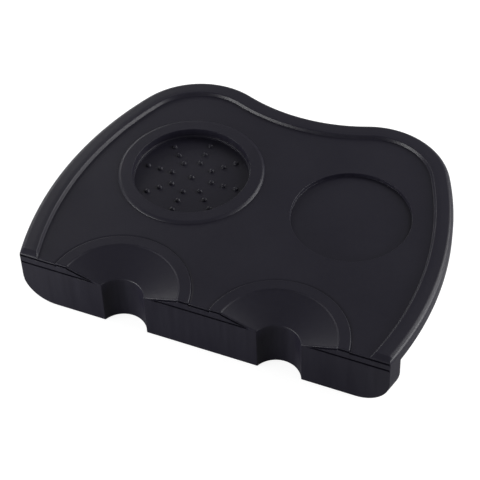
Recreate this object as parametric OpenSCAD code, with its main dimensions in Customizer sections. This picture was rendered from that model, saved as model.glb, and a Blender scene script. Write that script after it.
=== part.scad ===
// Corner tamper mat, moulded in one piece from black silicone rubber.
// It hooks over the edge of a bench: the plate lies on the bench top and the
// lip hangs down in front of it. The frame's origin is where the bench's top
// edge runs, on the mat's mirror line: z = 0 is the underside of the plate,
// y = 0 is the back of the lip, and +X is to the right seen from the front.
// All sizes are in millimetres.

/* [Plate outline] */
// Width at the widest place of the two sides
plate_w = 203.8; // [196:0.2:240]
// Depth from the front face to the back of the two lobes
plate_d = 147.6; // [138:0.2:180]
// Distance of the widest place behind the front face
widest_y = 46.9; // [38:0.1:56]
// How far each side draws in from its widest place to the outermost place of its lobe
side_draw = 13.8; // [8:0.1:22]
// Radius of each back lobe
lobe_r = 40.8; // [36:0.2:44]
// How far the hollow between the lobes lies in front of them
dip = 8.6; // [6:0.1:12]
// Thickness of the plate from the underside to the floor of the tray
floor_t = 6.5; // [5.5:0.1:9]

/* [Rim] */
// Height of the rim above the floor of the tray
rim_h = 1.8; // [1:0.1:4]
// Width of the rim's top, from the outer wall to the step
rim_w = 8.7; // [6:0.1:11]
// Width of the sloping step from the rim down to the floor
step_w = 0.9; // [0.5:0.1:2]
// Radius of the rim's outer top edge
rim_round = 2.3; // [1:0.1:3]
// Length of the slope at the two front ends of the rim
rim_end = 2.5; // [1:0.1:5]

/* [Lip] */
// Thickness of the lip that hangs in front of the bench
lip_t = 8.8; // [8.2:0.1:14]
// Drop of the lip below the underside of the plate
lip_drop = 25.2; // [20:0.1:40]
// Radius of the lip's two bottom corners
lip_corner_r = 16; // [6:0.5:18]
// Height of the front strip, from the floor of the tray down to the seam line
strip_h = 5.7; // [4.8:0.1:6.2]
// Width of the seam line's groove
seam_w = 0.5; // [0.3:0.1:1]
// Depth of the seam line's groove
seam_depth = 0.4; // [0.2:0.1:0.8]

/* [Tamper seat] */
// Diameter of the seat that the tamper's base stands in
seat_dia = 60; // [50:0.5:62]
// Depth of the seat below the floor of the tray
seat_depth = 4.3; // [2:0.1:5]
// Radius in the corner between the seat's wall and its floor
seat_round = 1.2; // [0.8:0.1:2]
// Distance of the seat's centre behind the front face
seat_y = 81.9; // [78:0.1:90]
// Width of the flat top of the raised collar round the seat
collar_flat = 5.1; // [3:0.1:7]
// Height of the collar above the floor of the tray
collar_h = 1.2; // [0.8:0.1:2.4]
// Radius of the collar's outer shoulder
collar_round = 2.8; // [2.5:0.1:5]
// Diameter of each round bump on the seat's floor
bump_dia = 2.2; // [1.4:0.1:3]
// Height of each bump
bump_h = 0.7; // [0.4:0.1:0.8]
// Radius of the innermost ring of bumps
bump_first_r = 10.95; // [6:0.05:12]
// Distance from one ring of bumps to the next
bump_pitch = 6.68; // [4:0.01:7]
// Number of rings of bumps round the middle one
bump_rings = 3; // [1:1:3]
// Number of arms that the bumps lie on
bump_arms = 8; // [4:1:12]

/* [Shallow recess] */
// Diameter of the shallow recess
recess_dia = 60.4; // [50:0.2:66]
// Depth of the shallow recess below the floor of the tray
recess_depth = 2; // [1:0.1:4]
// Distance of its centre behind the front face
recess_y = 81.1; // [76:0.1:92]
// Floor left between the seat's collar and the recess, which together are
// centred on the mat
middle_gap = 19; // [6:0.2:30]

/* [Portafilter rests] */
// Floor left between the raised bands of the two rests
bands_gap = 9.8; // [3:0.1:18]
// Distance of the rests' centres in front of the front face
rest_setback = 4.7; // [2:0.1:6]
// Diameter of the rim of each sloping hollow
rest_dia = 59.8; // [50:0.2:62]
// Width of the raised band round each hollow
band_w = 5.7; // [3:0.1:7]
// Height of the raised band above the floor of the tray
band_h = 0.5; // [0.3:0.1:1]
// Diameter of the notch that the spout hangs in
notch_dia = 24.4; // [18:0.1:25.4]

/* [Hidden] */
$fn = 120;

rubber = [0.165, 0.16, 0.18];
// Cuts reach this far past the faces that they open through
past = 1;
// Angle by which a lobe's edge reaches into its neighbours, and its inset
lap = 3;
hair = 0.02;

front_y = -lip_t;
floor_z = floor_t;
rim_z = floor_z + rim_h;
rim_foot = rim_w + step_w;
seam_z = floor_z - strip_h;
seat_z = floor_z - seat_depth;
seat_r = seat_dia / 2;
flat_r = seat_r + collar_flat;
collar_r = flat_r + sqrt(collar_round ^ 2 - (collar_round - collar_h) ^ 2);
recess_r = recess_dia / 2;
rest_r = rest_dia / 2;
band_r = rest_r + band_w;
notch_r = notch_dia / 2;
seat_x = recess_r + middle_gap / 2;
recess_x = collar_r + middle_gap / 2;
rest_x = band_r + bands_gap / 2;
rest_y = front_y - rest_setback;

// The outline is three arcs on each half: side, lobe and half of the hollow.
// Each is tangent to the next, so an inset of the outline only changes radii.
half_w = plate_w / 2;
side_y = front_y + widest_y;
lobe_x = half_w - side_draw - lobe_r;
lobe_y = front_y + plate_d - lobe_r;
lobe_in = lobe_x - half_w;
lobe_rise = lobe_y - side_y;
side_r = (lobe_r ^ 2 - lobe_in ^ 2 - lobe_rise ^ 2) / (2 * (lobe_in + lobe_r));
side_x = half_w - side_r;
dip_r = (lobe_x ^ 2 + dip ^ 2) / (2 * dip) - lobe_r;
dip_y = front_y + plate_d - dip + dip_r;
// Deepest inset that a profile turned about the side's centre reaches
deepest = lip_corner_r + rim_w;
side_from = asin((front_y - past - side_y) / (side_r - deepest));
side_to = atan2(lobe_rise, lobe_x - side_x);
lobe_to = atan2(dip_y - lobe_y, -lobe_x);

// Half width of the outline, set in by d, at a distance y from the bench edge
function side_at(y, d = 0) = side_x + sqrt((side_r - d) ^ 2 - (y - side_y) ^ 2);

function arc(cx, cy, r, from, to, steps) = [
    for (i = [0 : steps])
        let (a = from + (to - from) * i / steps)
            [cx + r * cos(a), cy + r * sin(a)]
];

// Each of these turns a profile about the centres of one pair of arcs. The
// profile is drawn with x as the inset from the outline and y as the height.
module along_sides() {
    for (m = [0, 1])
        mirror([m, 0, 0])
            translate([side_x, side_y, 0])
                rotate_extrude(angle = side_to - side_from, start = side_from)
                    translate([side_r, 0])
                        mirror([1, 0])
                            children();
}

// The lobes reach into their neighbours and stand a hair inside them, so that
// the joined pieces share no curved face.
module along_lobes() {
    for (m = [0, 1])
        mirror([m, 0, 0])
            translate([lobe_x, lobe_y, 0])
                rotate_extrude(angle = lobe_to - side_to + 2 * lap, start = side_to - lap)
                    translate([lobe_r - hair, 0])
                        mirror([1, 0])
                            children();
}

module along_dip() {
    translate([0, dip_y, 0])
        rotate_extrude(angle = 2 * lobe_to - 180, start = -lobe_to)
            translate([dip_r, 0])
                children();
}

// Quarter of a disc that rounds the corner at the origin, with the sign of
// y giving the side that its body lies on
module corner(r, up) {
    intersection() {
        translate([r, up * r])
            circle(r = r);
        translate([0, up > 0 ? 0 : -r])
            square([r, r]);
    }
}

// Cross-section of the plate's edge with its rim
module rim_profile() {
    union() {
        square([rim_round, rim_z - rim_round]);
        translate([0, rim_z])
            corner(rim_round, -1);
        polygon([[rim_round, 0], [rim_round, rim_z], [rim_w, rim_z], [rim_foot, floor_z], [rim_foot, 0]]);
    }
}

// Plate inside the rim. Its own edge lies hidden within the rim.
module tray_floor() {
    d = rim_w / 2;
    half = concat(
        arc(side_x, side_y, side_r - d, side_from, side_to, 8),
        arc(lobe_x, lobe_y, lobe_r - d, side_to, lobe_to, 8),
        arc(0, dip_y, dip_r + d, lobe_to - 180, -90, 4)
    );
    other = [for (i = [len(half) - 1 : -1 : 0]) [-half[i][0], half[i][1]]];
    linear_extrude(height = floor_z)
        polygon(concat(half, other));
}

module tray() {
    tray_floor();
    along_sides() rim_profile();
    along_lobes() rim_profile();
    along_dip() rim_profile();
}

// Cross-section of the lip's end, with its round bottom corner
module lip_profile() {
    union() {
        translate([0, lip_corner_r - lip_drop])
            square([deepest, lip_drop - lip_corner_r]);
        translate([lip_corner_r, -lip_drop])
            square([rim_w, lip_corner_r]);
        translate([0, -lip_drop])
            corner(lip_corner_r, 1);
    }
}

// Lip, whose ends follow the plate's sides
module lip() {
    middle = side_at(0, deepest) + past;
    intersection() {
        union() {
            along_sides() lip_profile();
            translate([-middle, front_y - past, -lip_drop])
                cube([2 * middle, lip_t + past, lip_drop]);
        }
        translate([-plate_w, front_y - past, -lip_drop - past])
            cube([2 * plate_w, lip_t + past, lip_drop + past]);
    }
}

// Raised collar. Its shoulder is an arc that leaves the flat top level and
// ends on the floor of the tray.
module collar() {
    top_z = floor_z + collar_h;
    translate([-seat_x, front_y + seat_y, 0])
        rotate_extrude()
            union() {
                translate([seat_r - past, seat_z])
                    square([collar_flat + past, top_z - seat_z]);
                intersection() {
                    translate([flat_r, top_z - collar_round])
                        circle(r = collar_round);
                    translate([flat_r - past, floor_z - past])
                        square([collar_round + 2 * past, collar_h + 2 * past]);
                }
            }
}

// Hollow of the seat, with a round corner at its floor
module seat_cut() {
    translate([-seat_x, front_y + seat_y, seat_z])
        rotate_extrude()
            union() {
                square([seat_r - seat_round, seat_depth]);
                translate([0, seat_round])
                    square([seat_r, seat_depth + collar_h + past - seat_round]);
                translate([seat_r - seat_round, seat_round])
                    circle(r = seat_round);
            }
}

// One bump: the cap of a sphere
module bump() {
    ball_r = (bump_dia ^ 2 / 4 + bump_h ^ 2) / (2 * bump_h);
    translate([0, 0, bump_h - ball_r])
        sphere(r = ball_r, $fn = 24);
}

module bumps() {
    translate([-seat_x, front_y + seat_y, seat_z]) {
        bump();
        for (arm = [0 : bump_arms - 1])
            for (ring = [0 : bump_rings - 1])
                rotate([0, 0, arm * 360 / bump_arms])
                    translate([bump_first_r + ring * bump_pitch, 0, 0])
                        bump();
    }
}

module recess_cut() {
    translate([recess_x, front_y + recess_y, floor_z - recess_depth])
        cylinder(h = recess_depth + rim_h + past, r = recess_r);
}

// Each rest's own features stand about its centre line, in front of the mat
module at_rests() {
    for (side = [-1, 1])
        translate([side * rest_x, rest_y, 0])
            children();
}

module band() {
    at_rests()
        translate([0, 0, floor_z - past])
            cylinder(h = band_h + past, r = band_r);
}

// Sloping hollow above the seam line, and the notch below it
module rest_cut() {
    cone_h = floor_z + band_h - seam_z;
    slope = (rest_r - notch_r) / cone_h;
    at_rests() {
        translate([0, 0, seam_z])
            cylinder(h = cone_h + past, r1 = notch_r, r2 = rest_r + slope * past);
        translate([0, 0, -lip_drop - past])
            cylinder(h = lip_drop + past + floor_z, r = notch_r);
    }
}

// Removes what runs past the front face
module front_cut() {
    reach = 2 * (band_r + rest_setback);
    translate([-plate_w, front_y - reach, -lip_drop - past])
        cube([2 * plate_w, reach, lip_drop + rim_z + 2 * past]);
}

module seam_cut() {
    translate([-plate_w, front_y - past, seam_z - seam_w / 2])
        cube([2 * plate_w, seam_depth + past, seam_w]);
}

// Slope at the front ends of the rim
module rim_end_cut() {
    inner = side_at(front_y, rim_foot) - past;
    drop = past * rim_h / rim_end;
    for (m = [0, 1])
        mirror([m, 0, 0])
            translate([inner, 0, 0])
                rotate([90, 0, 90])
                    linear_extrude(height = plate_w)
                        polygon([
                            [front_y - past, floor_z - drop],
                            [front_y + rim_end + past, rim_z + drop],
                            [front_y - past, rim_z + drop]
                        ]);
}

// The seat's hollow without its bumps
module seat_hollow() {
    difference() {
        seat_cut();
        bumps();
    }
}

module mat() {
    color(rubber)
        difference() {
            union() {
                tray();
                lip();
                collar();
                band();
            }
            seat_hollow();
            recess_cut();
            rest_cut();
            seam_cut();
            rim_end_cut();
            front_cut();
        }
}

mat();
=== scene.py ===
# %% [markdown]
# The corner tamper mat is one moulding of black silicone rubber. It hooks over the edge
# of a kitchen bench: a plate with a low rim lies on top, and a lip hangs down in front.
# The packed CAD model is loaded first, because it fixes every outer size. All that is made
# below is measured from it, so the finer model can't drift away from the real object.

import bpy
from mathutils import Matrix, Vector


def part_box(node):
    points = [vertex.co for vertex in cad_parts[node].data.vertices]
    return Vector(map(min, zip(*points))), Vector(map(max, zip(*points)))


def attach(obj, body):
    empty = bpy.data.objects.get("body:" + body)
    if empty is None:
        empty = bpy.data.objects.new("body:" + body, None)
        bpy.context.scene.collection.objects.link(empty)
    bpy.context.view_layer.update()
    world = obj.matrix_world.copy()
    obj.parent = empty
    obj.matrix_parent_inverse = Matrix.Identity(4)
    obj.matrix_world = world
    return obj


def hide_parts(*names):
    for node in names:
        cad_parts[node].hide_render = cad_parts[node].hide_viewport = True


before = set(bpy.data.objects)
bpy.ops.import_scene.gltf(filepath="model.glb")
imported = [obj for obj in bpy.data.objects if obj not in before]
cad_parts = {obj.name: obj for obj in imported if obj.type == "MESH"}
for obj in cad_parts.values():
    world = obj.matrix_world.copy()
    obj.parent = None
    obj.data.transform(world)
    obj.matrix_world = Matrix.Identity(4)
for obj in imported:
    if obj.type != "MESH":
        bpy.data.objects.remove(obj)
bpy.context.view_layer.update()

# %% [markdown]
# Blender's own modules make meshes and materials, and numpy works out the heights of many
# points at once. A loop over single points would give the same heights far more slowly.
# Sizes stay in millimetres, as on a drawing, until the mesh is made.

# %% The tools that this lesson uses
import math

import bmesh
import bpy
import numpy as np
from mathutils import Matrix, Vector
from mathutils.geometry import delaunay_2d_cdt

MM = 0.001
print("Blender", bpy.app.version_string, "and sizes in millimetres until the mesh is made")

# %% [markdown]
# Sizes. The overall ones come from the frame's box. The others are real sizes of the
# mat's features, in millimetres, and each is given where its feature is made. The frame's
# origin is on the line of the bench's top edge: z = 0 is the underside of the plate, and
# y = 0 is the back of the lip.

# %% Overall sizes, from the frame
low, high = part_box("mat")
plate_w = (high.x - low.x) / MM
plate_d = (high.y - low.y) / MM
front_y = low.y / MM
lip_drop = -low.z / MM
rim_z = high.z / MM
print(f"plate {plate_w:.1f} by {plate_d:.1f} mm, lip {-front_y:.1f} mm thick, {lip_drop:.1f} mm deep")

# %% [markdown]
# The tray's floor lies a little below the rim's top, and the seam marks off a strip of
# the front below the floor. Both heights are counted down from the rim's top, because
# that is the height which the frame gives.

# %% Heights of the tray's floor and of the seam
rim_h = 1.8
strip_h = 5.7
floor_z = rim_z - rim_h
seam_z = floor_z - strip_h
print(f"floor at {floor_z:.1f} mm, seam at {seam_z:.1f} mm")

# %% [markdown]
# The outline. Each half of the plate's edge is three arcs that meet without a kink: the
# long side, a round lobe at the back, and half of the hollow between the lobes. Because
# they are tangent, an inset copy of the outline only changes the three radii. A spline
# through many points would look alike, but its insets would wobble.

# %% The three arcs of one half
widest_y = 46.9
side_draw = 13.8
lobe_r = 40.8
dip = 8.6
half_w = plate_w / 2
side_y = front_y + widest_y
lobe_x = half_w - side_draw - lobe_r
lobe_y = front_y + plate_d - lobe_r
lobe_in = lobe_x - half_w
lobe_rise = lobe_y - side_y
side_r = (lobe_r ** 2 - lobe_in ** 2 - lobe_rise ** 2) / (2 * (lobe_in + lobe_r))
side_x = half_w - side_r
dip_r = (lobe_x ** 2 + dip ** 2) / (2 * dip) - lobe_r
dip_y = front_y + plate_d - dip + dip_r
side_to = math.atan2(lobe_rise, lobe_x - side_x)
lobe_to = math.atan2(dip_y - lobe_y, -lobe_x)
print(f"radii: side {side_r:.1f}, lobe {lobe_r:.1f}, hollow {dip_r:.1f} mm")

# %% [markdown]
# Every curve on this mat is made of arcs. Blender's curve objects could draw them, but
# their points would have to be read back for the height maps. One small helper that lists
# an arc's points serves both, and two more read a place off the side's own arc.

# %% Helpers for arcs
TOUCHING = 1e-6


def arc(centre, r, start, end, steps):
    """Points from one angle to another, in radians. An arc without radius is its centre."""
    if r < TOUCHING:
        return [tuple(centre)]
    angles = [start + (end - start) * i / steps for i in range(steps + 1)]
    return [(centre[0] + r * math.cos(a), centre[1] + r * math.sin(a)) for a in angles]


def side_angle(inset, y):
    """Angle, seen from the centre of the side's arc, at which an inset of it reaches y."""
    return math.asin((y - side_y) / (side_r - inset))


def front_x(inset, y=front_y):
    """Half width of the mat at y, for an inset of its sides."""
    return side_x + (side_r - inset) * math.cos(side_angle(inset, y))


print(f"half width at the front {front_x(0):.1f} mm, at the bench's edge {front_x(0, 0):.1f} mm")

# %% [markdown]
# The portafilter rests. Each is a round hollow that slopes down to a half-round notch in
# the front, and both have one centre, a little in front of the mat. The two could be
# placed by their centres, but the gap between their half rings is what the photo shows
# clearly, so that gap is given here and the centres follow from it.

# %% Places of the rests
rest_r = 29.9
band_w = 5.7
bands_gap = 9.8
rest_setback = 4.7
notch_r = 12.2
band_r = rest_r + band_w
rest_x = band_r + bands_gap / 2
rest_y = front_y - rest_setback
print(f"rests at x ±{rest_x:.1f}, y {rest_y:.1f} mm")

# %% [markdown]
# The upright corners. A boolean could cut the notches, but a moulding has no knife edges:
# where a notch meets the front, the corner is slightly round in plan too, as are the
# plate's two front corners. So the edge is drawn with those small arcs in it, and their
# centres follow from the offsets of two curves.

# %% Centres of the small upright corners
edge_r = 0.5
corner_y = front_y + edge_r
corner_angle = side_angle(edge_r, corner_y)
corner_x = side_x + (side_r - edge_r) * math.cos(corner_angle)
notch_rise = corner_y - rest_y
notch_reach = math.sqrt((notch_r + edge_r) ** 2 - notch_rise ** 2)
notch_lean = math.atan2(notch_rise, notch_reach)
print(f"front corner at x {corner_x:.1f}, notch {2 * notch_reach:.1f} mm wide between its corners")

# %% [markdown]
# Cross-sections. Every ring-shaped feature of the mat is a cross-section carried along a
# curve: the rim along the outline, the collar and the seat round one centre, the recess
# round another, and the sloping hollows round two centres in front of the mat. A section
# is written as the few corners that a drawing would show, each with its radius. The helper
# turns it into a fine line, so that a height can be read off it at any distance.


# %% Rounding the corners of a section
def rounded(corners, steps):
    """A section through (distance, height, radius) corners, with an arc at each of them."""
    line = [np.array(corners[0][:2], float)]
    for before, corner, after in zip(corners, corners[1:], corners[2:]):
        at = np.array(corner[:2], float)
        back_leg = np.array(before[:2], float) - at
        next_leg = np.array(after[:2], float) - at
        back_leg /= np.linalg.norm(back_leg)
        next_leg /= np.linalg.norm(next_leg)
        middle = back_leg + next_leg
        half = math.acos(np.clip(back_leg @ next_leg, -1, 1)) / 2
        centre = at + middle / np.linalg.norm(middle) * corner[2] / math.sin(half)
        start = at + back_leg * corner[2] / math.tan(half) - centre
        end = at + next_leg * corner[2] / math.tan(half) - centre
        turn = math.pi - 2 * half
        for k in range(steps + 1):
            a = turn * k / steps
            line.append(centre + (start * math.sin(turn - a) + end * math.sin(a)) / math.sin(turn))
    line.append(np.array(corners[-1][:2], float))
    return np.array(line)


right_angle = rounded([(0, 0, 0), (5, 0, 1), (5, 5, 0)], 2)
print("a right angle with a radius of 1:", right_angle.round(2).tolist())

# %% [markdown]
# The rim keeps drips on the mat. Its top is very slightly crowned, and its outer edge is
# well rounded, which gives the broad light along the right side. A short slope leads down
# to the floor. A bevel on a sharp edge would also round it, but in a section each edge
# has a radius of its own.

# %% The rim's section
rim_w = 8.7
rim_foot = 9.6
crown_at = 6.5
crown_h = 0.4
# A section runs on level for this far, past the foot of its last step.
past_end = 1.5
RIM = [
    (0, seam_z, 0),
    (0, rim_z - crown_h, 2.8),
    (crown_at, rim_z, 20),
    (rim_w, rim_z, 0.8),
    (rim_foot, floor_z, 0.4),
    (rim_foot + past_end, floor_z, 0),
]
print(f"rim {rim_w} mm wide on top and {rim_h} mm high")

# %% [markdown]
# The tamper seat is a deep round hollow inside a raised collar. The photo shows a second
# fine line above the foot of its wall, so the wall has a narrow ledge there. The collar's
# outer edge falls away in one broad round, which carries the two lights at its front. A
# profile spun round by a Screw modifier would give the same form, but as a section of the
# height map it meets the tray's floor without a gap.

# %% The seat's section
seat_r = 30
seat_depth = 4.3
ledge_h = 1.2
ledge_w = 0.6
seat_lean = 0.05
collar_h = 1.2
collar_flat = 5.1
collar_round = 2.8
shoulder = 0.8
foot_h = 0.2
foot_lean = 0.02
seat_z = floor_z - seat_depth
collar_z = floor_z + collar_h
collar_r = seat_r + collar_flat + math.sqrt(collar_round ** 2 - (collar_round - collar_h) ** 2)
SEAT = [
    (0, seat_z, 0),
    (seat_r - ledge_w - seat_lean, seat_z, 0.08),
    (seat_r - ledge_w, seat_z + ledge_h, 0.35),
    (seat_r - seat_lean, seat_z + ledge_h, 0.1),
    (seat_r, collar_z, 0.2),
    (collar_r - shoulder, collar_z, 2.3),
    (collar_r - foot_lean, floor_z + foot_h, 0.05),
    (collar_r, floor_z, 0.04),
    (collar_r + past_end, floor_z, 0),
]
print(f"seat's floor at {seat_z:.1f} mm, collar {2 * collar_r:.1f} mm wide")

# %% [markdown]
# The shallow recess is a plain round hollow beside the seat, with no collar. Its wall
# leans out a little, as a moulding's has to, so that it leaves the mould. A cylinder cut
# from the plate would be as wide, but its sharp upper edge would catch no light.

# %% The recess's section
recess_r = 30.2
recess_depth = 2
recess_lean = 0.1
RECESS = [
    (0, floor_z - recess_depth, 0),
    (recess_r - recess_lean, floor_z - recess_depth, 0.15),
    (recess_r, floor_z, 0.2),
    (recess_r + past_end, floor_z, 0),
]
print(f"recess {2 * recess_r:.1f} mm wide and {recess_depth} mm deep")

# %% [markdown]
# A rest's section is a cone that climbs from the notch, a short steep step to a flat half
# ring, and the ring's outer edge. In the photo that edge is a light line beside a dark
# one. A step alone stays too faint, so a fine groove runs along its foot.

# %% The rests' section
band_h = 0.5
rest_step_h = 0.55
rest_step_w = 0.6
band_lean = 0.25
groove_depth = 0.25
groove_w = 0.7
band_z = floor_z + band_h
REST = [
    (notch_r, seam_z, 0),
    (rest_r - rest_step_w, band_z - rest_step_h, 0.6),
    (rest_r, band_z, 0.6),
    (band_r - band_lean, band_z, 0.5),
    (band_r, floor_z - groove_depth, 0.04),
    (band_r + groove_w, floor_z, 0.2),
    (band_r + past_end, floor_z, 0),
]
print(f"half rings {2 * band_r:.1f} mm wide, {band_h} mm above the floor")

# %% [markdown]
# The bumps hold the tamper's base off the seat's floor, so that it can dry. One is in the
# middle, and three more are on each of eight spokes. Spheres could be set on the floor,
# but as part of the height map each bump grows out of it without a gap.

# %% A bump's section, and the places of all bumps
bump_r = 1.4
bump_h = 1.15
bump_lean = 0.15
bump_skirt = 0.3
bump_first_r = 10.95
bump_pitch = 6.68
bumps_on_spoke = 3
spokes = 8
middle_gap = 19
seat_from_front = 81.9
seat_x = -(recess_r + middle_gap / 2)
seat_y = front_y + seat_from_front
BUMP = [
    (0, bump_h, 0),
    (bump_r - bump_lean, bump_h, 1.05),
    (bump_r, 0, 0.12),
    (bump_r + bump_skirt, 0, 0),
]
bumps = [(seat_x, seat_y)]
for spoke in range(spokes):
    angle = 2 * math.pi * spoke / spokes
    for k in range(bumps_on_spoke):
        away = bump_first_r + bump_pitch * k
        bumps.append((seat_x + away * math.cos(angle), seat_y + away * math.sin(angle)))
print(len(bumps), "bumps round", (seat_x, round(seat_y, 1)))

# %% [markdown]
# A height is read off a section by its distance, so each section becomes a line of many
# short pieces. The arcs could be worked out anew at every point, but the pieces are so
# short that no difference shows.

# %% All sections as fine lines
FINE_STEPS = 32
sections = {"rim": RIM, "seat": SEAT, "recess": RECESS, "rest": REST, "bump": BUMP}
section_line = {name: rounded(corners, FINE_STEPS) for name, corners in sections.items()}
# The rim's outer wall is upright, so its lower end has no distance of its own.
section_line["rim"] = section_line["rim"][1:]
print({name: len(line) for name, line in section_line.items()})

# %% [markdown]
# The mat as two height maps. Apart from the two grooves across the front, which its wall
# gets later, nothing is hollowed from the side. So each point of the plan has one height
# on top and one below, both written as plain functions of x and y. The alternative,
# cutting solids from each other, leaves ragged triangles round every cut, and its fillets
# often fail where three features meet.

# %% How far a point lies inside the edges
# The centres of a side's arc and its lobe lie on one line with their joint. This slack, in
# radians, keeps the points on that line in.
JOINT_SLACK = 0.01


def side_inset(x, y):
    """Distance inside the long sides, the lobes and the hollow between them."""
    x = np.abs(x)
    past_side = np.arctan2(y - side_y, x - side_x) > side_to
    lobe_angle = np.arctan2(y - lobe_y, x - lobe_x)
    in_lobe = past_side & (lobe_angle > side_to - JOINT_SLACK) & (lobe_angle < lobe_to)
    by_side = side_r - np.hypot(x - side_x, y - side_y)
    by_lobe = lobe_r - np.hypot(x - lobe_x, y - lobe_y)
    by_dip = np.hypot(x, y - dip_y) - dip_r
    return np.maximum(np.where(in_lobe, by_lobe, np.where(past_side, by_dip, by_side)), 0)


def in_corner(x, y, centre, high_angle):
    """Inset inside a small upright corner, and which points lie in it."""
    away = np.hypot(x - centre[0], y - centre[1])
    angle = np.arctan2(y - centre[1], x - centre[0])
    after_front = angle > -math.pi / 2 - TOUCHING
    inside = (away < edge_r + TOUCHING) & after_front & (angle < high_angle + TOUCHING)
    return np.maximum(edge_r - away, 0), inside


def front_inset(x, y):
    """Distance inside the straight front and the round notches."""
    x = np.abs(x)
    inset = np.minimum(y - front_y, np.hypot(x - rest_x, y - rest_y) - notch_r)
    for mirrored_x in (x, 2 * rest_x - x):
        near, here = in_corner(mirrored_x, y, (rest_x - notch_reach, corner_y), -notch_lean)
        inset = np.where(here, near, inset)
    return np.maximum(inset, 0)


def outer_corner(x, y):
    """The same as in_corner, for the plate's two front corners."""
    return in_corner(np.abs(x), y, (corner_x, corner_y), corner_angle)


print(f"the seat's centre lies {float(side_inset(seat_x, seat_y)):.1f} mm inside the edge")

# %% [markdown]
# Two helpers turn a distance into a height. One gives the small rounds along the outer
# edges, and the other looks a distance up in a section. With them, the height of each
# feature is one short expression.


# %% Helpers that read a height
def fall(inset, r):
    """How far a round edge has dropped at a distance inside it."""
    left = np.clip(r - inset, 0, r)
    return r - np.sqrt(r ** 2 - left ** 2)


def along(name, distance):
    """Height of a section at a distance."""
    line = section_line[name]
    return np.interp(distance, line[:, 0], line[:, 1])


print(f"rim 3 mm inside the edge: {along('rim', 3):.2f} mm high")

# %% [markdown]
# The top. The rim comes first, and then each feature takes the points within its reach:
# the rests, the recess, the seat, and last the bumps on the seat's floor. No other two of
# them touch, so their order doesn't matter. At the front, the rim's ends slope down to
# the floor, and the front edge is rounded at the very end.

# %% Heights of the top
rim_end = 2.5
# A feature's own section counts up to this far outside its foot.
reach = 1.4
recess_from_front = 81.1
recess_x = collar_r + middle_gap / 2
recess_y = front_y + recess_from_front


def top_height(x, y):
    """Height of the mat's top at each point of the plan."""
    corner_inset, cornered = outer_corner(x, y)
    side = np.where(cornered, corner_inset, side_inset(x, y))
    front = np.where(cornered, corner_inset, front_inset(x, y))
    z = along("rim", side)
    ramp = floor_z + (y - front_y) * rim_h / rim_end
    in_rest = np.hypot(np.abs(x) - rest_x, y - rest_y)
    z = np.where(in_rest < band_r + reach, along("rest", in_rest), np.minimum(z, ramp))
    in_recess = np.hypot(x - recess_x, y - recess_y)
    z = np.where(in_recess < recess_r + reach, along("recess", in_recess), z)
    in_seat = np.hypot(x - seat_x, y - seat_y)
    z = np.where(in_seat < collar_r + reach, along("seat", in_seat), z)
    for bump_x, bump_y in bumps:
        away = np.hypot(x - bump_x, y - bump_y)
        z = np.where(away < bump_r + bump_skirt, np.maximum(z, seat_z + along("bump", away)), z)
    z = z - fall(front, edge_r)
    return np.where(cornered, np.minimum(along("rim", side), z), z)


print(f"middle of the recess at {float(top_height(recess_x, recess_y)):.1f} mm")

# %% [markdown]
# Below, the plate is flat, and the lip ends lower down with a large round corner at each
# end. Both have the same small edge rounds as the top. Large cylinders could cut the
# lip's corners, but as a fall in height they run into the upright side without an edge.

# %% Heights of the undersides
lip_corner_r = 16


def plate_underside(x, y):
    """The plate's flat underside, with its small edge round."""
    return fall(side_inset(x, y), edge_r)


def lip_underside(x, y):
    """The lip's lower end, with its two large round corners."""
    corner_inset, cornered = outer_corner(x, y)
    side = np.where(cornered, corner_inset, side_inset(x, y))
    front = np.where(cornered, y - front_y, front_inset(x, y))
    return fall(side, lip_corner_r) - lip_drop + fall(front, edge_r) + fall(-y, edge_r)


print(f"middle of the lip's lower end at {float(lip_underside(0, front_y / 2)):.1f} mm")

# %% [markdown]
# The edge loops. The height maps only look right if the mesh has an edge wherever the
# surface bends. So the plan gets curves: insets of the outline for the rim and the small
# edge rounds, and full or cut-off circles for the round features. A few more circles on
# the flats keep their triangles compact. A constrained Delaunay triangulation then fills
# the plan and keeps every one of those curves as edges.

# %% Where a section needs an edge loop
LOOP_STEPS = {"rim": 7, "seat": 6, "recess": 5, "rest": 5, "bump": 4}


def rings_of(name, first, last, closest=0.015):
    """Distances at which a feature gets an edge loop, from its section's rounded corners."""
    line = rounded(sections[name], LOOP_STEPS[name])
    found = sorted({round(float(d), 3) for d in line[:, 0] if first <= d <= last})
    return [d for d, after in zip(found, found[1:] + [last + 1]) if after - d > closest]


def quarter_round(r, steps):
    """Insets at which the facets of a quarter round meet, each turned as far as the next."""
    return [r * (1 - math.cos(math.pi / 2 * k / steps)) for k in range(1, steps + 1)]


edge_insets = quarter_round(edge_r, steps=5)
lip_rings = [d for d in quarter_round(lip_corner_r, steps=14) if d > edge_r]
print(len(edge_insets), "insets on the small edges,", len(lip_rings), "on the lip's corners")

# %% Rings of the features
# Rings are read off a section between these distances from its ends.
beyond = 1
just_past = 0.05
on_flat = 5
seat_flats = [5, 14, 21]
recess_flats = [8, 16, 24]
rest_cone = [13.4, 16, 19, 22, 25, 28]
rim_rings = rings_of("rim", edge_r + just_past, rim_foot + beyond)
seat_rings = rings_of("seat", on_flat, collar_r + beyond) + seat_flats + [collar_r + reach]
recess_rings = rings_of("recess", on_flat, recess_r + beyond) + recess_flats + [recess_r + reach]
rest_rings = rings_of("rest", notch_r + beyond, band_r + beyond) + rest_cone + [band_r + reach]
rest_rings = sorted(rest_rings)
bump_rings = rings_of("bump", just_past, bump_r + bump_skirt)
print(len(rim_rings), "rim rings,", len(seat_rings), "seat rings,", len(recess_rings), "recess rings")
print(len(rest_rings), "rest rings,", len(bump_rings), "rings on a bump")

# %% [markdown]
# The rings of the rests, the rim and the lip end at the straight front. If the edge had
# no point there, the triangulation would add one, and the wall below would miss it. So
# the edge gets a point at each of those places, and a few on the stretches between them.

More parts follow.
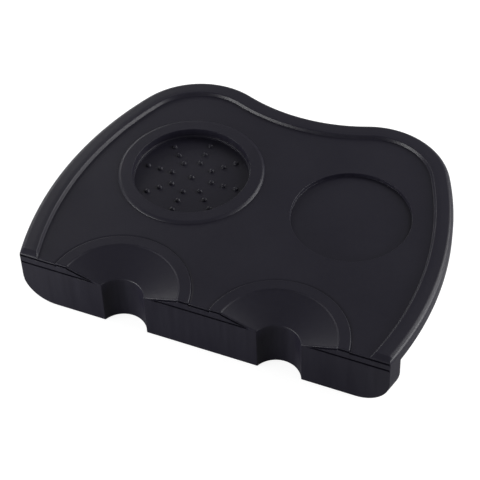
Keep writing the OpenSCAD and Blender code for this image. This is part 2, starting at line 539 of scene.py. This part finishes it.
# %% Where the rings end on the straight front
notch_clear = 0.1
corner_clear = 0.05
between_rings = [0, 2, 4, front_x(14) - 3, front_x(14) - 1]


def front_stations():
    """Places on the right half of the front where some ring ends, and a few between."""
    drop = front_y - rest_y
    found = [rest_x + s * math.sqrt(r ** 2 - drop ** 2) for r in rest_rings for s in (-1, 1)]
    found += [front_x(d) for d in rim_rings + lip_rings]
    kept = []
    for x in sorted(found + between_rings):
        left = 0 <= x < rest_x - notch_reach - notch_clear
        right = rest_x + notch_reach + notch_clear < x < corner_x - corner_clear
        if left or right:
            kept.append(x)
    return kept


front_line = front_stations()
print(len(front_line), "stations on half of the front")

# %% [markdown]
# The whole edge of the mat, as one closed loop: front, notches, upright corners, sides,
# lobes and hollow. The right half is drawn and then mirrored, because both halves of the
# real outline match. A Mirror modifier could do that to the finished mesh, but the seat
# and the recess aren't mirrored. The same function also draws the insets of the loop.

# %% The whole edge, inset by a small amount
SIDE_STEPS = 36
LIP_SIDE_STEPS = 3
HOLLOW_STEPS = 12
NOTCH_STEPS = 28
CORNER_STEPS = 5
OUTER_CORNER_STEPS = 6


def notch_edge(inset):
    """The edge round the right notch, from left to right."""
    r = edge_r - inset
    left = (rest_x - notch_reach, corner_y)
    right = (rest_x + notch_reach, corner_y)
    return (
        arc(left, r, -math.pi / 2, -notch_lean, CORNER_STEPS)
        + arc((rest_x, rest_y), notch_r + inset, math.pi - notch_lean, notch_lean, NOTCH_STEPS)[1:-1]
        + arc(right, r, math.pi + notch_lean, 1.5 * math.pi, CORNER_STEPS)
    )


def back_edge(inset, start):
    """The edge from an angle on the side round the lobe to the middle of the back."""
    bench = side_angle(inset, 0)
    first = arc((side_x, side_y), side_r - inset, start, bench, LIP_SIDE_STEPS) if start < bench else []
    start = max(start, bench)
    return (
        first[:-1]
        + arc((side_x, side_y), side_r - inset, start, side_to, SIDE_STEPS)
        + arc((lobe_x, lobe_y), lobe_r - inset, side_to, lobe_to, SIDE_STEPS)[1:]
        + arc((0, dip_y), dip_r + inset, lobe_to - math.pi, -math.pi / 2, HOLLOW_STEPS)[1:]
    )


def mirrored(half):
    """Adds the left half to a right half that runs from the front to the back."""
    left = [(-x, y) for x, y in reversed(half)]
    return half + left[1:]


def contour(inset):
    """The mat's whole edge, inset by up to the radius of its corners, as a closed loop."""
    corner = arc((corner_x, corner_y), edge_r - inset, -math.pi / 2, corner_angle, OUTER_CORNER_STEPS)
    half = (
        [(x, front_y + inset) for x in front_line if x < rest_x]
        + notch_edge(inset)
        + [(x, front_y + inset) for x in front_line if x > rest_x]
        + corner[:-1]
        + back_edge(inset, corner_angle)
    )
    return mirrored(half)[:-1]


edge_loop = contour(0)
print("points round the edge:", len(edge_loop))

# %% [markdown]
# The other curves: full circles for the seat, the recess and the bumps, circles that are
# cut off at the front for the rests, and open lines for the rim. Their steps are short
# enough that no corner shows in a close view. More of them would only slow the render.

# %% Every curve that the top follows
CIRCLE_STEPS = 144
REST_STEPS = 84
BUMP_STEPS = 18
ramp_inset = 0.03
ramp_past_foot = 0.4


def outline_curve(inset):
    """An inset of the sides and lobes that starts and ends on the front, as an open line."""
    start = side_angle(inset, front_y)
    return mirrored([(front_x(inset), front_y)] + back_edge(inset, start)[1:])


def circle(centre, r, steps=CIRCLE_STEPS):
    """A full circle as a closed line."""
    return arc(centre, r, 0, 2 * math.pi, steps)


def rest_curve(side, r):
    """A circle about a rest's centre, cut off at the front."""
    start = math.asin((front_y - rest_y) / r)
    return [(side * x, y) for x, y in arc((rest_x, rest_y), r, start, math.pi - start, REST_STEPS)]


def ramp_curve(side):
    """The line where the slope at a front end of the rim reaches the rim's top."""
    y = front_y + rim_end
    return [(side * front_x(d, y), y) for d in (ramp_inset, rim_foot + ramp_past_foot)]


top_curves = [contour(d) + contour(d)[:1] for d in edge_insets]
top_curves += [outline_curve(d) for d in rim_rings]
top_curves += [circle((seat_x, seat_y), r) for r in seat_rings]
top_curves += [circle((recess_x, recess_y), r) for r in recess_rings]
top_curves += [rest_curve(side, r) for side in (-1, 1) for r in rest_rings]
top_curves += [circle(place, r, BUMP_STEPS) for place in bumps for r in bump_rings]
top_curves += [ramp_curve(side) for side in (-1, 1)]
print(len(top_curves), "curves on the top")

# %% [markdown]
# From curves to faces. The triangulation gives flat triangles in the plan, and the height
# map lifts them. The same edge loop bounds the top and the undersides, so that upright
# walls can close the body between them.

# %% Triangulating the inside of a loop
ONLY_INSIDE = 1
NEAR = 1e-4


def fill_loop(loop, curves, height):
    """Vertices, faces, and the place of each point of the loop among the vertices."""
    points = [Vector(p) for p in loop]
    edges = [(i, (i + 1) % len(loop)) for i in range(len(loop))]
    for curve in curves:
        first = len(points)
        points += [Vector(p) for p in curve]
        edges += [(i, i + 1) for i in range(first, len(points) - 1)]
    flat, _, faces, sources, _, _ = delaunay_2d_cdt(points, edges, [], ONLY_INSIDE, NEAR)
    places = {old: new for new, olds in enumerate(sources) for old in olds}
    xy = np.array([(p.x, p.y) for p in flat])
    z = height(xy[:, 0], xy[:, 1])
    vertices = [(x, y, float(h)) for (x, y), h in zip(xy.tolist(), z)]
    return vertices, [list(face) for face in faces], [places[i] for i in range(len(loop))]


top_points, top_faces, top_loop = fill_loop(edge_loop, top_curves, top_height)
print("top:", len(top_points), "points,", len(top_faces), "faces")

# %% [markdown]
# The underside is in two levels: the plate rests on the bench, and the lip ends lower
# down with a round corner at each end. Both meet along the line y = 0, where the lip's
# back wall stands. One flat plate with a box under it would hide a seam inside the body,
# and this mesh has to be one closed skin.

# %% The line where the lip's back meets the plate
edge_count = len(edge_loop)
bench_at = next(i for i, (x, y) in enumerate(edge_loop) if x > 0 and abs(y) < TOUCHING)
bench_end = edge_count - bench_at
bench_stations = [16, 32.5, 48.5, 65, 80]
half_line = sorted([front_x(d, 0) for d in edge_insets + lip_rings] + bench_stations)
bench_line = [(x, 0.0) for x in [-x for x in reversed(half_line)] + [0.0] + half_line]
back_loop = edge_loop[bench_at:bench_end + 1]
front_loop = edge_loop[:bench_at + 1] + bench_line[::-1] + edge_loop[bench_end:]
print("the plate's underside is bounded by", len(back_loop) + len(bench_line), "points")

# %% The plate's underside
plate_curves = [contour(d)[bench_at:bench_end + 1] for d in edge_insets]
plate_points, plate_faces, plate_loop = fill_loop(back_loop + bench_line, plate_curves, plate_underside)
print("plate's underside:", len(plate_faces), "faces")

# %% The lip's underside
ACROSS_LIP = 5
lip_back_inset = 0.04


def lip_curve(side, inset):
    """An inset of one end of the lip, from the bench's edge to the front."""
    line = [(front_x(inset, y), y) for y in np.linspace(0, front_y, ACROSS_LIP)]
    return [(side * x, float(y)) for x, y in line]


def front_part(inset):
    """The edge's inset round the front, from the left end of the lip to the right."""
    whole = contour(inset)
    return whole[bench_end:] + whole[:bench_at + 1]


def lip_back_curve(inset):
    """An inset of the lip's long back edge."""
    x = front_x(lip_back_inset, -inset)
    return [(-x, -inset), (x, -inset)]


lip_curves = [front_part(d) for d in edge_insets]
lip_curves += [lip_curve(side, d) for side in (-1, 1) for d in lip_rings]
lip_curves += [lip_back_curve(d) for d in edge_insets]
lip_points, lip_faces, lip_loop = fill_loop(front_loop, lip_curves, lip_underside)
print("lip's underside:", len(lip_faces), "faces")

# %% [markdown]
# One list of points. The three filled surfaces were each numbered from zero, so the
# undersides' numbers are raised by the points that come before them, and their faces are
# turned over to look down. Merging doubled points would join the surfaces too, but tables
# of which point lies below which leave nothing to a distance.

# %% All points and faces so far, in one list
vertices = top_points + plate_points + lip_points
faces = list(top_faces)
plate_from = len(top_points)
lip_from = plate_from + len(plate_points)
faces += [[i + plate_from for i in reversed(face)] for face in plate_faces]
faces += [[i + lip_from for i in reversed(face)] for face in lip_faces]
plate_at = {(bench_at + k) % edge_count: plate_from + plate_loop[k] for k in range(len(back_loop))}
lip_at = {i: lip_from + lip_loop[i] for i in range(bench_at + 1)}
lip_tail = bench_at + 1 + len(bench_line)
lip_at.update({bench_end + k: lip_from + lip_loop[lip_tail + k] for k in range(bench_at)})
print(len(vertices), "points on the top and the undersides")

# %% [markdown]
# The upright walls carry the detail of the front. The photo shows a strip along the top,
# with a groove below it, and another right under its upper edge, about as high but not as
# deep. Both could be painted on as dark lines, but a line of paint doesn't catch
# light. So each column of the wall gets rows of points of its own, which step in to the
# groove's foot and out again. A groove closes where the strip runs out, at the rests.

# %% The two grooves of the front
edge_groove = 1.0
seam_groove = 1.3
seam_half = 0.6
seam_reach = 0.7
# Where the strip runs out, the grooves close over this height and the rows move together.
runs_out = 1.5
least_room = 0.03
groove_room = 0.2
row_gap = 0.03
# Each row is a drop below the top edge and a step inwards.
EDGE_ROWS = [(0.12, 0), (0.17, edge_groove), (1.4, edge_groove), (1.46, 0.06), (1.56, 0)]
# Each row is a rise above the middle of the seam and a step inwards.
SEAM_ROWS = [
    (seam_reach, 0),
    (0.65, 0.06),
    (seam_half, seam_groove),
    (-0.55, seam_groove),
    (-seam_half, 0.1),
    (-seam_reach, 0),
]
print(f"groove under the edge {edge_groove} mm deep, seam {seam_groove} mm deep")


# %% Walls between the top and the undersides
def column(i):
    """Vertices of the wall at one point of the edge, from the top down."""
    x, y = edge_loop[i]
    rows = [top_loop[i]]
    if i in lip_at:
        top_z = vertices[top_loop[i]][2]
        on_front = y < front_y + TOUCHING
        depth = float(np.clip((top_z - seam_z - seam_half) / runs_out, 0, 1)) if on_front else 0
        room = float(np.clip((top_z - seam_z - seam_reach) / runs_out, least_room, 1))
        for drop, inset in EDGE_ROWS:
            vertices.append((x, y + (depth * inset if room > groove_room else 0), top_z - drop * room))
            rows.append(len(vertices) - 1)
        top_z -= EDGE_ROWS[-1][0] * room
        for k, (rise, inset) in enumerate(SEAM_ROWS):
            vertices.append((x, y + depth * inset, min(seam_z + rise, top_z - row_gap * (k + 1))))
            rows.append(len(vertices) - 1)
    if i in plate_at:
        rows.append(plate_at[i])
    if i in lip_at:
        rows.append(lip_at[i])
    return rows


def wall(left, right):
    """Faces between two columns, as quads where both have as many rows."""
    if len(left) == len(right):
        pairs = zip(zip(left, left[1:]), zip(right, right[1:]))
        return [[a, b, d, c] for (a, b), (c, d) in pairs]
    return [left + right[::-1]]


columns = [column(i) for i in range(edge_count)]
for i in range(edge_count):
    here, there = columns[i], columns[(i + 1) % edge_count]
    on_plate = i >= bench_at and i + 1 <= bench_end
    if on_plate:
        # At the bench's edge a column stands on both undersides. This wall ends at the plate's.
        here = [v for v in here if v != lip_at.get(i)]
        there = [v for v in there if v != lip_at.get((i + 1) % edge_count)]
    faces += wall(here, there)
print(len(vertices), "points with the walls")

# %% [markdown]
# The lip's back lies against the front of the bench. It closes the gap between the
# plate's underside and the lip's, and because it is flat, one row of quads is enough.

# %% The lip's back wall
upper = [plate_from + plate_loop[len(back_loop) + k] for k in range(len(bench_line))]
upper = [plate_from + plate_loop[len(back_loop) - 1]] + upper + [plate_from + plate_loop[0]]
lower = [lip_from + lip_loop[bench_at + 1 + k] for k in range(len(bench_line))][::-1]
lower = [lip_at[bench_end]] + lower + [lip_at[bench_at]]
for k in range(len(upper) - 1):
    faces.append([upper[k], upper[k + 1], lower[k + 1], lower[k]])
print(len(faces), "faces in all")

# %% [markdown] The mesh of the mat. Blender takes the points and faces in metres. A
# point that no face uses is taken out, and the faces are turned to look outwards.

# %% The mat's mesh, closed and facing outwards
mesh = bpy.data.meshes.new("silicone_mat")
mesh.from_pydata([(x * MM, y * MM, z * MM) for x, y, z in vertices], [], faces)
mesh.validate()
work = bmesh.new()
work.from_mesh(mesh)
bmesh.ops.recalc_face_normals(work, faces=work.faces)
bmesh.ops.delete(work, geom=[v for v in work.verts if not v.link_faces], context="VERTS")
open_edges = [e for e in work.edges if len(e.link_faces) != 2]
print("open edges", len(open_edges), "volume", round(work.calc_volume() / MM ** 3), "cubic millimetres")
work.to_mesh(mesh)
work.free()

# %% [markdown]
# The finished mat takes the place of the CAD model's plain one. Its faces are shaded
# smooth except across real corners. A Subdivision Surface would smooth them too, but it
# would also soften the fine steps. Weighted normals keep the large flats' tone even next
# to the small rounds.

# %% The mat in place of the CAD node
mat = bpy.data.objects.new("silicone_mat", mesh)
bpy.context.scene.collection.objects.link(mat)
SHARP_FROM = math.radians(42)
mesh.shade_smooth()
mesh.set_sharp_from_angle(angle=SHARP_FROM)
weighted = mat.modifiers.new("even_shading", "WEIGHTED_NORMAL")
weighted.keep_sharp = True
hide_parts("mat")
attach(mat, "root")
print("the mat has", len(mesh.polygons), "faces")

# %% [markdown]
# The camera. It stands at the front right and looks down, as the photographer did. Its
# numbers came from fitting a camera to the photo's circles and straight edges, with the
# seat's 60 mm as the scale: a direction, a distance, a small tilt and the point it aims
# at. A camera set by eye would be quicker, but no line of the mat could be compared.

# %% The camera's place and lens
AZIMUTH = math.radians(24.54)
ELEVATION = math.radians(46.99)
TILT = math.radians(-2.62)
DISTANCE = 834.6
AIM_FROM_FRONT = 65
OFF_AIM_RIGHT = 5.39
OFF_AIM_UP = 12.97
PICTURE = 480
FOCAL_PIXELS = 1683.4
SENSOR_WIDTH = 36


def direction(azimuth, elevation):
    """Unit vector from the object towards a camera or a lamp. Azimuth 0 is in front."""
    flat = math.cos(elevation)
    return Vector((math.sin(azimuth) * flat, -math.cos(azimuth) * flat, math.sin(elevation)))


back = direction(AZIMUTH, ELEVATION)
level = Vector((math.cos(AZIMUTH), math.sin(AZIMUTH), 0))
rise = back.cross(level)
right = level * math.cos(TILT) + rise * math.sin(TILT)
up = rise * math.cos(TILT) - level * math.sin(TILT)
aim = Vector((0, front_y + AIM_FROM_FRONT, floor_z))
place = (aim + back * DISTANCE - right * OFF_AIM_RIGHT - up * OFF_AIM_UP) * MM
camera_data = bpy.data.cameras.new("camera")
camera_data.sensor_width = SENSOR_WIDTH
camera_data.lens = FOCAL_PIXELS / PICTURE * SENSOR_WIDTH
camera = bpy.data.objects.new("camera", camera_data)
camera.matrix_world = Matrix.Translation(place) @ Matrix((right, up, back)).transposed().to_4x4()
bpy.context.scene.collection.objects.link(camera)
bpy.context.scene.camera = camera
print("camera at", tuple(round(c, 3) for c in place), "lens", round(camera_data.lens, 1), "mm")

# %% [markdown]
# Shader maths. A material's pattern is arithmetic on numbers that vary over the surface.
# Joined by hand, that is a web of Math nodes. The class below wraps one socket, so that
# the same web is written as a plain expression.


# %% A socket that can be calculated with
class Signal:
    """One output of a node. Arithmetic on it adds Math nodes to its material."""

    def __init__(self, socket):
        self.socket = socket

    def node(self, kind, settings=None, sockets=None, output=0):
        """Adds a node: its settings first, then values or links for its sockets."""
        tree = self.socket.id_data
        node = tree.nodes.new(kind)
        for name, value in (settings or {}).items():
            setattr(node, name, value)
        for name, value in (sockets or {}).items():
            if isinstance(value, Signal):
                tree.links.new(value.socket, node.inputs[name])
            else:
                node.inputs[name].default_value = value
        return Signal(node.outputs[output])

    def math(self, operation, first, second):
        return self.node("ShaderNodeMath", {"operation": operation}, {0: first, 1: second})

    def __add__(self, other):
        return self.math("ADD", self, other)

    __radd__ = __add__

    def __sub__(self, other):
        return self.math("SUBTRACT", self, other)

    def __rsub__(self, other):
        return self.math("SUBTRACT", other, self)

    def __mul__(self, other):
        return self.math("MULTIPLY", self, other)

    __rmul__ = __mul__

    def __abs__(self):
        return self.node("ShaderNodeMath", {"operation": "ABSOLUTE"}, {0: self})


def new_material(name):
    """An empty material, the place of a point on the object, and the output node."""
    material = bpy.data.materials.new(name)
    material.use_nodes = True
    tree = material.node_tree
    tree.nodes.clear()
    output = tree.nodes.new("ShaderNodeOutputMaterial")
    coordinates = tree.nodes.new("ShaderNodeTexCoord")
    return material, Signal(coordinates.outputs["Object"]), output


print("operators:", [name for name in vars(Signal) if name.startswith("__") and name != "__init__"])

# %% [markdown]
# Moulded silicone is matte and very dark, with a slight violet tint. Its gloss is broad
# and soft, as from a mould that was blasted with fine beads. That grain is far too fine
# to model, so it is a bump, and larger soft patches change the tone and the gloss a
# little, as dust and handling do. An image of it would need the mat's surface laid out
# flat. Noise needs no layout, and it is set to the grain's real scale.

# %% Grain and soft patches
GRAIN_SCALE = 1600.0
PATCH_SCALE = 28.0
CLOUD_SCALE = 9.0
silicone, spot, output = new_material("black_silicone")
grain = spot.node("ShaderNodeTexNoise", {}, {"Vector": spot, "Scale": GRAIN_SCALE, "Detail": 3.0})
patches = spot.node("ShaderNodeTexNoise", {}, {"Vector": spot, "Scale": PATCH_SCALE, "Detail": 4.0})
clouds = spot.node("ShaderNodeTexNoise", {}, {"Vector": spot, "Scale": CLOUD_SCALE, "Detail": 2.0})
bump = spot.node("ShaderNodeBump", {}, {"Height": grain, "Strength": 0.35, "Distance": 0.0001})
print("grain about", round(1 / GRAIN_SCALE / MM, 1), "mm, patches about", round(1 / PATCH_SCALE / MM), "mm")

# %% [markdown]
# The upright faces show faint streaks from top to bottom, where the moulding was drawn
# out of its mould. A noise that is stretched along the height gives them. It counts in
# full where a face stands upright, and a fifth as much on the flats.

# %% Streaks on the upright faces
STREAK_STRETCH = (1, 1, 0.06)
STREAK_SCALE = 420.0
ON_FLATS = 0.2
drawn = spot.node("ShaderNodeVectorMath", {"operation": "MULTIPLY"}, {0: spot, 1: STREAK_STRETCH})
streak_noise = spot.node("ShaderNodeTexNoise", {}, {"Vector": drawn, "Scale": STREAK_SCALE, "Detail": 2.0})
facing = spot.node("ShaderNodeNewGeometry", output="Normal")
upright = 1 - abs(facing.node("ShaderNodeSeparateXYZ", {}, {"Vector": facing}, "Z"))
streaks = (streak_noise - 0.5) * (upright * (1 - ON_FLATS) + ON_FLATS)
print("streaks are drawn out", round(1 / STREAK_STRETCH[2]), "times")

# %% [markdown]
# The patterns come together in one Principled BSDF. The soft patches mix two near-black
# colours, and with the grain they make the gloss a little uneven. Silicone bends light
# less than most plastics, hence its low IOR. One flat black would be simpler, but it
# would look like paint.

# %% The silicone
DEEP = (0.0072, 0.0062, 0.0124, 1)
DUSTY = (0.0150, 0.0140, 0.0224, 1)
MATTE = 0.38
tone = clouds * 0.5 + patches * 0.5 + streaks * 1.1
colour = spot.node("ShaderNodeMix", {"data_type": "RGBA"}, {0: tone, 6: DEEP, 7: DUSTY}, 2)
roughness = MATTE + (patches - 0.5) * 0.16 + (grain - 0.5) * 0.08 + streaks * 0.22
rubber = spot.node("ShaderNodeBsdfPrincipled", {}, {
    "Base Color": colour,
    "Roughness": roughness,
    "IOR": 1.41,
    "Specular IOR Level": 0.35,
    "Normal": bump,
})
silicone.node_tree.links.new(rubber.socket, output.inputs["Surface"])
mesh.materials.append(silicone)
print("nodes in the silicone:", len(silicone.node_tree.nodes))

# %% [markdown]
# The floor. The mat lies on pale paper, just below its lip. A sheet that curves up at the
# back is usual in a studio, but a large flat square is enough here, because the camera
# looks down and sees none of its edges.

# %% The floor's mesh
FLOOR_SIZE = 6
BELOW_LIP = 0.3
ground_z = -(lip_drop + BELOW_LIP) * MM
corners = [(-1, -1), (1, -1), (1, 1), (-1, 1)]
floor_mesh = bpy.data.meshes.new("floor")
floor_points = [(x * FLOOR_SIZE, y * FLOOR_SIZE, ground_z) for x, y in corners]
floor_mesh.from_pydata(floor_points, [], [(0, 1, 2, 3)])
floor = bpy.data.objects.new("floor", floor_mesh)
bpy.context.scene.collection.objects.link(floor)
print("floor at", round(ground_z / MM, 1), "mm")

# %% [markdown]
# The photo's ground is pure white, so for the camera the paper adds a white of its own. A
# brighter lamp on plain paper would do that too, but it would also lighten the mat. A
# glossy ray sees the white as well, but with a painted shadow in it: the glow fades out
# towards a point just in front of the lip, right of its middle, where the mat would shade
# the floor. Without that painted shadow, the lip's face would mirror a bright floor that
# the photo doesn't show.

# %% The floor's white paper
SHADE_AT = (0.04, -0.02, ground_z)
SHADE_FROM = 0.09
SHADE_TO = 0.42
PAPER = (0.4, 0.4, 0.4, 1)
GLOW = 0.85
paper, ground, output = new_material("white_paper")
diffuse = ground.node("ShaderNodeBsdfDiffuse", {}, {"Color": PAPER})
glow = ground.node("ShaderNodeEmission", {}, {"Color": (1, 1, 1, 1), "Strength": GLOW})
both = ground.node("ShaderNodeAddShader", {}, {0: diffuse, 1: glow})
# A painted shadow in the floor's glow: glossy and transmission rays see no glow within SHADE_FROM of
# SHADE_AT, and the full glow from SHADE_TO on.
away = ground.node("ShaderNodeVectorMath", {"operation": "DISTANCE"}, {0: ground, 1: SHADE_AT}, "Value")
outside_painted_shadow = away.node("ShaderNodeMapRange", {}, {"Value": away, "From Min": SHADE_FROM, "From Max": SHADE_TO})
seen = ground.node("ShaderNodeLightPath", output="Is Glossy Ray")
seen = seen + ground.node("ShaderNodeLightPath", output="Is Transmission Ray")
seen = seen * outside_painted_shadow + ground.node("ShaderNodeLightPath", output="Is Camera Ray")
shown = ground.node("ShaderNodeMixShader", {}, {0: seen, 1: diffuse, 2: both})
paper.node_tree.links.new(shown.socket, output.inputs["Surface"])
floor_mesh.materials.append(paper)
print("nodes in the paper:", len(paper.node_tree.nodes))

# %% [markdown]
# The lamps. A near-black object shows its form by what it mirrors, so the lamps stand
# where the photo's lights are seen: low at the right for the bright edge of the rim, low
# at the left front for the lip's face, a weak one higher up at the left, and two at the
# back for the flats. Each was rendered alone, and their powers were fitted to the photo's
# tones. Moving all of them by eye until the picture looks right takes far more tries.

# %% A soft lamp
LAMP_AIM = Vector((0, 0.05, 0))


def lamp(name, azimuth, elevation, size, power, away=1.0):
    """A rectangular lamp: its direction in degrees, size and distance in metres, and watts."""
    data = bpy.data.lights.new(name, "AREA")
    data.shape = "RECTANGLE"
    data.size = size[0]
    data.size_y = size[1]
    data.energy = power
    towards = direction(math.radians(azimuth), math.radians(elevation))
    item = bpy.data.objects.new(name, data)
    item.location = LAMP_AIM + towards * away
    item.rotation_euler = towards.to_track_quat("Z", "Y").to_euler()
    bpy.context.scene.collection.objects.link(item)
    print(name, "at", tuple(round(c, 2) for c in item.location))


lamp("right_lamp", azimuth=107, elevation=10, size=(0.8, 0.42), power=9.6)
lamp("left_lamp", azimuth=312, elevation=7, size=(0.56, 0.18), power=4.6, away=0.7)
lamp("upper_left_lamp", azimuth=270, elevation=27, size=(0.42, 0.42), power=0.9)
lamp("back_right_lamp", azimuth=140, elevation=34, size=(0.5, 0.5), power=4.8)
lamp("back_left_lamp", azimuth=230, elevation=21, size=(0.45, 0.25), power=1.6)

# %% [markdown]
# The world is an even pale light from all sides, as from a studio's walls. It is weak,
# because it only has to keep the shaded faces from going black. A picture of a real room
# could light the scene too, but the mat would mirror whatever stands in it.

# %% World and colour
WORLD_STRENGTH = 0.31
world = bpy.data.worlds.new("studio")
world.use_nodes = True
sky = world.node_tree.nodes["Background"]
sky.inputs["Color"].default_value = (1, 1, 1, 1)
sky.inputs["Strength"].default_value = WORLD_STRENGTH
bpy.context.scene.world = world
bpy.context.scene.view_settings.view_transform = "Standard"
print("world strength", WORLD_STRENGTH)

# %% [markdown]
# The looks may not change the size of the object.

# %% [markdown]
